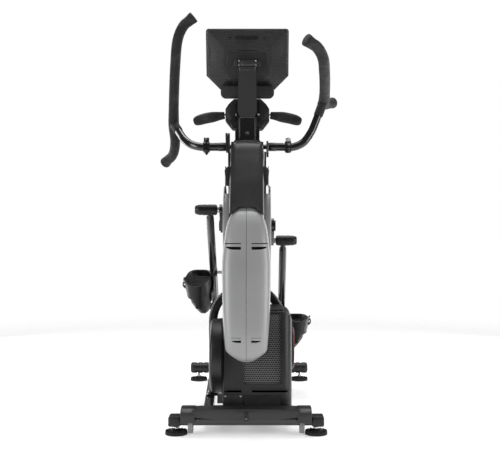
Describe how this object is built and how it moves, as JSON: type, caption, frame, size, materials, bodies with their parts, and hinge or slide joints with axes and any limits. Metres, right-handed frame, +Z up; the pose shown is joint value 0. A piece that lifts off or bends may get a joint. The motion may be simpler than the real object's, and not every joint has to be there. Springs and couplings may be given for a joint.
{
  "type": "elliptical trainer",
  "caption": "Upright elliptical trainer: fan-braked crank, straight roller-carried pedal legs, swinging handles and a tilting console on a levelled steel base.",
  "frame": {"origin": "on the floor, at the middle of the bounding box", "axes": "+Z up, -Y towards the front of the machine (the fan and shroud), +Y towards the user, +X to the right when looking along +Y"},
  "size_m": [0.7874, 1.2826, 1.6567],
  "materials": {
    "black_paint": "gloss black paint",
    "dark_plastic": "fine-grained moulding",
    "charcoal_plastic": "satin moulding",
    "grey_plastic": "satin painted moulding",
    "grip_foam": "matte foam",
    "rubber": "matte",
    "steel": "satin",
    "cast_metal": "machined casting",
    "screen_glass": "glossy display window"
  },
  "bodies": {
    "frame": {"main_frame": "black_paint", "arch_brace": "black_paint", "base_rail_left": "black_paint", "base_rail_right": "black_paint", "roller_rail_left": "steel", "roller_rail_right": "steel", "front_crossbar": "black_paint", "front_foot_cover": "dark_plastic", "front_end_cap_left": "dark_plastic", "front_end_cap_right": "dark_plastic", "rear_crossbar": "black_paint", "rear_end_cap_left": "dark_plastic", "rear_end_cap_right": "dark_plastic", "fan_housing": "dark_plastic", "flywheel_cover": "dark_plastic", "intake_grille": "dark_plastic", "fan_side_cover": "dark_plastic", "front_shroud_left": "grey_plastic", "front_shroud_right": "grey_plastic", "upper_shroud": "charcoal_plastic", "rear_shroud": "dark_plastic", "crank_cover_left": "grey_plastic", "crank_cover_right": "grey_plastic", "drive_belt": "rubber", "mast_collar": "dark_plastic", "handlebar_hub": "dark_plastic", "static_grip_left": "grip_foam", "static_grip_right": "grip_foam", "console_arm": "black_paint"},
    "crank": {"crankshaft": "steel", "crank_pulley": "cast_metal", "crank_arm_left": "black_paint", "crank_arm_right": "black_paint"},
    "fan": {"fan_flywheel": "cast_metal"},
    "console": {"console_back": "dark_plastic", "console_face": "charcoal_plastic", "console_screen": "screen_glass", "media_tray": "dark_plastic"},
    "left_leg": {"leg_left": "black_paint", "pedal_left": "dark_plastic", "pedal_pad_left": "rubber"},
    "left_rod": {"connecting_rod_left": "steel"},
    "left_carriage": {"roller_axle_left": "steel"},
    "left_roller": {"roller_left": "rubber"},
    "left_handle": {"handle_tube_left": "black_paint", "handle_grip_left": "grip_foam"},
    "right_leg": {"leg_right": "black_paint", "pedal_right": "dark_plastic", "pedal_pad_right": "rubber"},
    "right_rod": {"connecting_rod_right": "steel"},
    "right_carriage": {"roller_axle_right": "steel"},
    "right_roller": {"roller_right": "rubber"},
    "right_handle": {"handle_tube_right": "black_paint", "handle_grip_right": "grip_foam"},
    "leveling_foot_front_left": {"leveling_foot_front_left": "rubber"},
    "leveling_foot_front_right": {"leveling_foot_front_right": "rubber"},
    "leveling_foot_rear_left": {"leveling_foot_rear_left": "rubber"},
    "leveling_foot_rear_right": {"leveling_foot_rear_right": "rubber"},
    "transport_wheel_left": {"transport_wheel_left": "rubber"},
    "transport_wheel_right": {"transport_wheel_right": "rubber"}
  },
  "joints": [
    {"name": "crank_spin", "type": "hinge", "parent": "frame", "child": "crank", "pos_m": [0, -0.187, 0.7785], "axis": [1, 0, 0], "continuous": true},
    {"name": "fan_spin", "type": "hinge", "parent": "frame", "child": "fan", "pos_m": [0, -0.389, 0.27], "axis": [1, 0, 0], "continuous": true},
    {"name": "left_leg_pivot", "type": "hinge", "parent": "crank", "child": "left_leg", "pos_m": [-0.151, -0.29699, 0.842], "axis": [1, 0, 0], "continuous": true},
    {"name": "left_rod_pivot", "type": "hinge", "parent": "crank", "child": "left_rod", "pos_m": [-0.073, -0.187, 0.8155], "axis": [1, 0, 0], "continuous": true},
    {"name": "left_roller_slide", "type": "slide", "parent": "frame", "child": "left_carriage", "axis": [0, 0.6743, -0.7385], "range_m": [-0.012, 0.258]},
    {"name": "left_roller_spin", "type": "hinge", "parent": "left_carriage", "child": "left_roller", "pos_m": [-0.085, 0.0271, 0.57485], "axis": [1, 0, 0], "range_deg": [-420, 30]},
    {"name": "left_handle_swing", "type": "hinge", "parent": "frame", "child": "left_handle", "pos_m": [-0.1, -0.222, 1.102], "axis": [1, 0, 0], "range_deg": [-4, 52]},
    {"name": "right_leg_pivot", "type": "hinge", "parent": "crank", "child": "right_leg", "pos_m": [0.151, -0.07701, 0.715], "axis": [1, 0, 0], "continuous": true},
    {"name": "right_rod_pivot", "type": "hinge", "parent": "crank", "child": "right_rod", "pos_m": [0.073, -0.187, 0.7415], "axis": [1, 0, 0], "continuous": true},
    {"name": "right_roller_slide", "type": "slide", "parent": "frame", "child": "right_carriage", "axis": [0, 0.6743, -0.7385], "range_m": [-0.258, 0.012]},
    {"name": "right_roller_spin", "type": "hinge", "parent": "right_carriage", "child": "right_roller", "pos_m": [0.085, 0.19296, 0.39326], "axis": [1, 0, 0], "range_deg": [-30, 420]},
    {"name": "right_handle_swing", "type": "hinge", "parent": "frame", "child": "right_handle", "pos_m": [0.1, -0.222, 1.102], "axis": [1, 0, 0], "range_deg": [-52, 4]},
    {"name": "console_tilt", "type": "hinge", "parent": "frame", "child": "console", "pos_m": [0, -0.209, 1.4465], "axis": [1, 0, 0], "range_deg": [-8, 12]},
    {"name": "front_left_foot_turn", "type": "hinge", "parent": "frame", "child": "leveling_foot_front_left", "pos_m": [-0.261, -0.552, 0.02], "axis": [0, 0, 1], "continuous": true},
    {"name": "front_right_foot_turn", "type": "hinge", "parent": "frame", "child": "leveling_foot_front_right", "pos_m": [0.261, -0.552, 0.02], "axis": [0, 0, 1], "continuous": true},
    {"name": "rear_left_foot_turn", "type": "hinge", "parent": "frame", "child": "leveling_foot_rear_left", "pos_m": [-0.253, 0.598, 0.02], "axis": [0, 0, 1], "continuous": true},
    {"name": "rear_right_foot_turn", "type": "hinge", "parent": "frame", "child": "leveling_foot_rear_right", "pos_m": [0.253, 0.598, 0.02], "axis": [0, 0, 1], "continuous": true},
    {"name": "left_wheel_spin", "type": "hinge", "parent": "frame", "child": "transport_wheel_left", "pos_m": [-0.2075, -0.554, 0.036], "axis": [1, 0, 0], "continuous": true},
    {"name": "right_wheel_spin", "type": "hinge", "parent": "frame", "child": "transport_wheel_right", "pos_m": [0.2075, -0.554, 0.036], "axis": [1, 0, 0], "continuous": true}
  ],
  "couplings": [
    {"joint": "fan_spin", "follows": "crank_spin", "ratio": 7},
    {"joint": "left_leg_pivot", "follows": "crank_spin", "ratio": -1},
    {"joint": "left_rod_pivot", "follows": "crank_spin", "ratio": -1},
    {"joint": "right_leg_pivot", "follows": "crank_spin", "ratio": -1},
    {"joint": "right_rod_pivot", "follows": "crank_spin", "ratio": -1},
    {"joint": "right_roller_slide", "follows": "left_roller_slide", "ratio": -1},
    {"joint": "left_roller_spin", "follows": "left_roller_slide", "rad_per_m": -27.778},
    {"joint": "right_roller_spin", "follows": "left_roller_slide", "rad_per_m": 27.778},
    {"joint": "right_handle_swing", "follows": "left_handle_swing", "ratio": -1}
  ]
}
